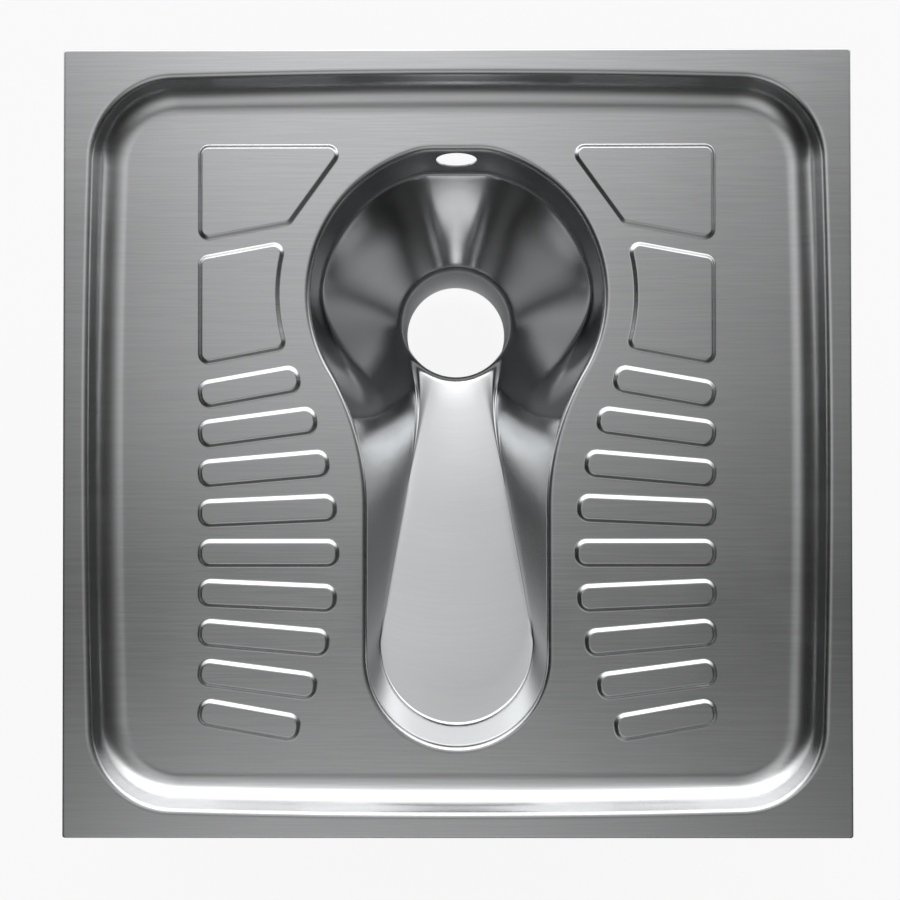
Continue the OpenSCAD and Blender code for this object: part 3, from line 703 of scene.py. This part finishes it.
def satin_steel(name, tint, roughness, anisotropy, streaks):
    """Streaks says how strongly the brushed lines show."""
    material, tree = new_finish(name)
    grain = add_node(tree, "ShaderNodeUVMap", uv_map="grain").outputs["UV"]
    across = add_node(tree, "ShaderNodeSeparateXYZ", {"Vector": grain}).outputs["X"]
    place = add_node(tree, "ShaderNodeTexCoord").outputs["Object"]
    slow = add_node(tree, "ShaderNodeVectorMath", {0: place}, operation="SCALE")
    slow.inputs["Scale"].default_value = 1 / STREAK_LENGTH
    fast = add_node(tree, "ShaderNodeMath", {0: across, 1: 1 / STREAK_WIDTH}, operation="MULTIPLY")
    lines = add_node(
        tree,
        "ShaderNodeTexNoise",
        {"Vector": slow.outputs["Vector"], "W": fast.outputs["Value"], "Scale": 1.0, "Detail": 1.0},
        noise_dimensions="4D",
    ).outputs["Fac"]
    clouds = add_node(
        tree, "ShaderNodeTexNoise", {"Vector": place, "Scale": 1 / CLOUD_SIZE, "Detail": 3.0}
    ).outputs["Fac"]
    streaky = spread(tree, lines, -STREAK_GLOSS * streaks, STREAK_GLOSS * streaks)
    cloudy = spread(tree, clouds, roughness - CLOUD_GLOSS, roughness + CLOUD_GLOSS)
    rough = add_node(tree, "ShaderNodeMath", {0: streaky, 1: cloudy}, operation="ADD")
    shade = add_node(tree, "ShaderNodeValToRGB", {"Fac": lines})
    for stop, side in zip(shade.color_ramp.elements, (-1, 1)):
        gain = 1 + side * STREAK_SHADE * streaks
        stop.position = 0.5 + side * STREAK_EDGE
        stop.color = tuple(c * gain for c in linear(tint)[:3]) + (1.0,)
    tangent = add_node(tree, "ShaderNodeTangent", direction_type="UV_MAP", uv_map="grain")
    shader = add_node(
        tree,
        "ShaderNodeBsdfPrincipled",
        {
            "Base Color": shade.outputs["Color"],
            "Metallic": 1.0,
            "Roughness": rough.outputs["Value"],
            "Anisotropic": anisotropy,
            "Tangent": tangent.outputs["Tangent"],
        },
    )
    add_node(tree, "ShaderNodeOutputMaterial", {"Surface": shader.outputs["BSDF"]})
    return material


# The tray's steel gives wide soft reflections and the streaks of straight brushing.
tray_steel = satin_steel("satin_stainless_sheet", "#cfd0d1", 0.24, 0.4, 1)
# The bowl's steel gives deep dark and bright fans, as a round polish does.
bowl_steel = satin_steel("round_polished_stainless_sheet", "#cccdce", 0.15, 0.5, 0.3)
print("steels:", tray_steel.name, bowl_steel.name)

# %% [markdown]
# ### The underframe
# Nobody sees it once the pan is built in, so its steel is left as it came from the mill: duller,
# with faint cloudy marks. The screws and feet are zinc plated, the plugs are moulded nylon, the
# soles rubber and the mats bitumen. One function makes them all: a noise of the size of each
# one's grain, given in millimetres, turns between two close colours and changes the gloss.

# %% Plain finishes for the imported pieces
MOTTLE_GLOSS, BUMP_HEIGHT = 0.06, 0.2 * MM


def plain_finish(name, dark, light, metallic, roughness, grit_mm, bump):
    """A finish with a fine mottle between two close colours, its size given in millimetres."""
    material, tree = new_finish(name)
    place = add_node(tree, "ShaderNodeTexCoord")
    mottle = add_node(
        tree,
        "ShaderNodeTexNoise",
        {"Vector": place.outputs["Object"], "Scale": 1 / (grit_mm * MM), "Detail": 4.0},
    )
    ramp = add_node(tree, "ShaderNodeValToRGB", {"Fac": mottle.outputs["Fac"]})
    for stop, position, colour in zip(
        ramp.color_ramp.elements, (NOISE_LOW, NOISE_HIGH), (dark, light)
    ):
        stop.position, stop.color = position, linear(colour)
    rough = spread(tree, mottle.outputs["Fac"], roughness - MOTTLE_GLOSS, roughness + MOTTLE_GLOSS)
    relief = add_node(
        tree,
        "ShaderNodeBump",
        {"Height": mottle.outputs["Fac"], "Strength": bump, "Distance": BUMP_HEIGHT},
    )
    shader = add_node(
        tree,
        "ShaderNodeBsdfPrincipled",
        {
            "Base Color": ramp.outputs["Color"],
            "Metallic": metallic,
            "Roughness": rough,
            "Normal": relief.outputs["Normal"],
        },
    )
    add_node(tree, "ShaderNodeOutputMaterial", {"Surface": shader.outputs["BSDF"]})
    return material


finishes = {
    # Rolled and pickled: pale, dull, with broad faint clouds.
    "frame_steel": plain_finish("mill_finish_stainless", "#a9abad", "#b9bbbd", 1, 0.42, 9, 0.1),
    # Zinc: bluish, with a fine spangle.
    "zinc_steel": plain_finish("zinc_plated_steel", "#b4b9bf", "#c9cdd2", 1, 0.33, 2.5, 0.15),
    # Rubber: black and matt, with a grain from the mould.
    "black_rubber": plain_finish("moulded_rubber", "#1c1c1c", "#262626", 0, 0.78, 1.2, 0.4),
    # Nylon: black with a low sheen.
    "black_nylon": plain_finish("moulded_nylon", "#202124", "#292a2d", 0, 0.5, 0.8, 0.2),
    # Bitumen: brownish black, dead matt and gritty.
    "bitumen": plain_finish("bitumen_mat", "#242220", "#33302d", 0, 0.85, 1.6, 0.8),
    # Brass: yellow, with the gloss that a lathe leaves.
    "brass": plain_finish("turned_brass", "#b3924c", "#c9a961", 1, 0.3, 1.5, 0.1),
    # Drawn tube: brighter than the frame, nearly even.
    "brushed_bowl_steel": plain_finish(
        "drawn_tube_stainless", "#c3c5c7", "#cfd1d2", 1, 0.35, 6, 0.05
    ),
}
for row in frame["record"]["subparts"]:
    name, slot_name = row["node"], row["material_slot"]
    if slot_name in finishes:
        frame["nodes"][name].data.materials.clear()
        frame["nodes"][name].data.materials.append(finishes[slot_name])
print("finishes:", len(finishes) + 2)

# %% The two sheets take their places
pan_tray.data.materials.append(tray_steel)
pan_bowl.data.materials.append(bowl_steel)
for piece, node, slot_name in (
    (pan_tray, "tray", "satin_steel"),
    (pan_bowl, "bowl", "brushed_bowl_steel"),
):
    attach(piece, "pan")
    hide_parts(node)
    print(piece.name, "stands for", node)

# %% [markdown]
# ## Floor, light and camera
# The floor is white paper. It looks white to the camera even in the pan's shadow, save for a
# tenth of real shading. Steel sees it white too where it lies open; under the pan, through the
# outlet, steel sees the real shade, and that is what makes the inside of the bowl deep.

# %% Two more small helpers
def calc(tree, operation, a, b=0.0):
    """One step of arithmetic on numbers or sockets."""
    return add_node(tree, "ShaderNodeMath", {0: a, 1: b}, operation=operation).outputs["Value"]


def eased(tree, value, low, high, to_low=0.0, to_high=1.0):
    """A soft step of a value between two limits."""
    limits = {"From Min": low, "From Max": high, "To Min": to_low, "To Max": to_high}
    step = add_node(
        tree, "ShaderNodeMapRange", {"Value": value} | limits, interpolation_type="SMOOTHSTEP"
    )
    return step.outputs["Result"]


# %% The floor
FLOOR_HALF, OPEN_FROM, OPEN_TO, WHITE_SHARE = 6, 0.30, 0.60, 0.9
floor_mesh = bmesh.new()
bmesh.ops.create_grid(floor_mesh, x_segments=1, y_segments=1, size=FLOOR_HALF)
floor_data = bpy.data.meshes.new("studio_floor")
floor_mesh.to_mesh(floor_data)
floor_mesh.free()
floor = bpy.data.objects.new("studio_floor", floor_data)
bpy.context.scene.collection.objects.link(floor)
paper, tree = new_finish("white_paper")
path = add_node(tree, "ShaderNodeLightPath")
place = add_node(tree, "ShaderNodeTexCoord")
away = add_node(tree, "ShaderNodeVectorMath", {0: place.outputs["Object"]}, operation="LENGTH")
open_floor = eased(tree, away.outputs["Value"], OPEN_FROM, OPEN_TO)
seen_by_steel = calc(tree, "MULTIPLY", path.outputs["Is Glossy Ray"], open_floor)
seen = calc(tree, "MAXIMUM", path.outputs["Is Camera Ray"], path.outputs["Is Transmission Ray"])
white = calc(tree, "MULTIPLY", calc(tree, "MAXIMUM", seen, seen_by_steel), WHITE_SHARE)
matt = add_node(tree, "ShaderNodeBsdfDiffuse", {"Color": linear("#f0f0f0")})
bright = add_node(tree, "ShaderNodeEmission", {"Color": (1, 1, 1, 1), "Strength": 1.0})
both = add_node(
    tree,
    "ShaderNodeMixShader",
    {0: white, 1: matt.outputs["BSDF"], 2: bright.outputs["Emission"]},
)
add_node(tree, "ShaderNodeOutputMaterial", {"Surface": both.outputs["Shader"]})
floor_data.materials.append(paper)
print("floor, metres across:", 2 * FLOOR_HALF)

# %% [markdown]
# Steel shows its surroundings, so the light is drawn as a studio round the pan. Area lamps could
# do it too, but a drawn sky takes a few numbers and renders with less noise. A lit wall stands
# at the rear: every face that leans back to it turns bright. Lamps hang in a row over the pan,
# from front to rear: a broad one at the front, weaker ones overhead, and a strong one low before
# the wall, which makes the white flashes at the front of the tray and of the channel. To the
# sides the room is dark, so faces that lean sideways go black. A direction is told by its tilt,
# which is the angle from straight up towards the rear, and by how far it points to the right.

# %% The studio
# Each entry is a tilt in degrees and the light there, and the light changes evenly between two.
# The two ends are the light at the horizon, in front and at the rear.
LAMPS_FRONT_END, LAMPS_REAR_END = 0.03, 0.0
LAMPS = [(-60, 0.08), (-40, 0.65), (-25, 0.65), (-10, 0.11), (5, 0.66), (14, 0.54)]
LAMPS += [(21, 0.88), (34, 0.78), (40, 0.4), (45, 1.8), (53, 1.8), (60, 0.2)]
# The row fades out to both sides of its middle, faster to the left.
LAMPS_MIDDLE, LAMPS_LEFT, LAMPS_RIGHT = -0.16, 0.28, 0.57
WALL_TOP_TILT, WALL_FOOT_TILT, WALL_LIGHT, DARK = 30, 48, 1.8, 0.015
WALL_END_FROM, WALL_END_TO, WALL_END_SHARE = 0.6, 1.0, 0.42
world = bpy.data.worlds.new("studio")
bpy.context.scene.world = world
world.use_nodes = True
sky = world.node_tree
sky.nodes.clear()
way = add_node(sky, "ShaderNodeTexCoord").outputs["Generated"]
axes = add_node(sky, "ShaderNodeSeparateXYZ", {"Vector": way})
right, rear, up = axes.outputs["X"], axes.outputs["Y"], axes.outputs["Z"]
tilt = calc(sky, "MULTIPLY", calc(sky, "ARCTAN2", rear, up), 180 / math.pi)
along_row = calc(sky, "DIVIDE", calc(sky, "ADD", tilt, 90), 180)
row = add_node(sky, "ShaderNodeValToRGB", {"Fac": along_row})
for stop, light in zip(row.color_ramp.elements, (LAMPS_FRONT_END, LAMPS_REAR_END)):
    stop.color = (light, light, light, 1)
for degrees, light in LAMPS:
    stop = row.color_ramp.elements.new((degrees + 90) / 180)
    stop.color = (light, light, light, 1)
print("steps in the row of lamps:", len(LAMPS))

# %% [markdown]
# The row of lamps fades to both sides along a bell curve, faster to the left, and that gives the
# tray its slow change of shade from side to side. The wall is one soft step in tilt, and dims
# towards its two ends. Behind the pan the camera itself sees plain white, as in the picture.

# %% How the row fades, and the wall
offset = calc(sky, "SUBTRACT", right, LAMPS_MIDDLE)
on_right = calc(sky, "GREATER_THAN", offset, 0.0)
reach = calc(sky, "ADD", calc(sky, "MULTIPLY", on_right, LAMPS_RIGHT - LAMPS_LEFT), LAMPS_LEFT)
share = calc(sky, "POWER", calc(sky, "ABSOLUTE", calc(sky, "DIVIDE", offset, reach)), 2.0)
fading = calc(sky, "EXPONENT", calc(sky, "MULTIPLY", share, -1.0))
lamps = calc(sky, "MULTIPLY", row.outputs["Color"], fading)
wall = eased(sky, tilt, WALL_TOP_TILT, WALL_FOOT_TILT, 0.0, WALL_LIGHT)
sideways = calc(sky, "ABSOLUTE", right)
wall_ends = eased(sky, sideways, WALL_END_FROM, WALL_END_TO, 1.0, WALL_END_SHARE)
wall = calc(sky, "MULTIPLY", wall, wall_ends)
strength = calc(sky, "ADD", calc(sky, "ADD", lamps, wall), DARK)
is_camera = add_node(sky, "ShaderNodeLightPath").outputs["Is Camera Ray"]
studio_light = add_node(sky, "ShaderNodeBackground", {"Color": (1, 1, 1, 1), "Strength": strength})
backdrop = add_node(sky, "ShaderNodeBackground", {"Color": (1, 1, 1, 1), "Strength": 1.0})
studio = add_node(
    sky,
    "ShaderNodeMixShader",
    {0: is_camera, 1: studio_light.outputs["Background"], 2: backdrop.outputs["Background"]},
)
add_node(sky, "ShaderNodeOutputWorld", {"Surface": studio.outputs["Shader"]})
print("nodes in the sky:", len(sky.nodes))

# %% [markdown]
# The camera looks almost straight down from 0.68 m above the rim, a little askew, as the
# corners of the rim in the picture show. Its sensor and lens are both 36 mm.

# %% The camera
CAMERA_PLACE = (-0.0030, -0.0104, 0.6829 + RIM_Z * MM)
CAMERA_ASKEW = (-0.39, -0.19, 0.05)
camera_data = bpy.data.cameras.new("camera")
camera_data.sensor_width = 36
camera_data.lens = 36
camera = bpy.data.objects.new("camera", camera_data)
bpy.context.scene.collection.objects.link(camera)
askew = Vector([math.radians(turn) for turn in CAMERA_ASKEW])
camera.matrix_world = Matrix.Translation(CAMERA_PLACE) @ Matrix.Rotation(
    -askew.length, 4, askew.normalized()
)
bpy.context.scene.camera = camera
bpy.context.scene.view_settings.view_transform = "Standard"
print("camera above the rim, metres:", round(CAMERA_PLACE[2] - RIM_Z * MM, 4))
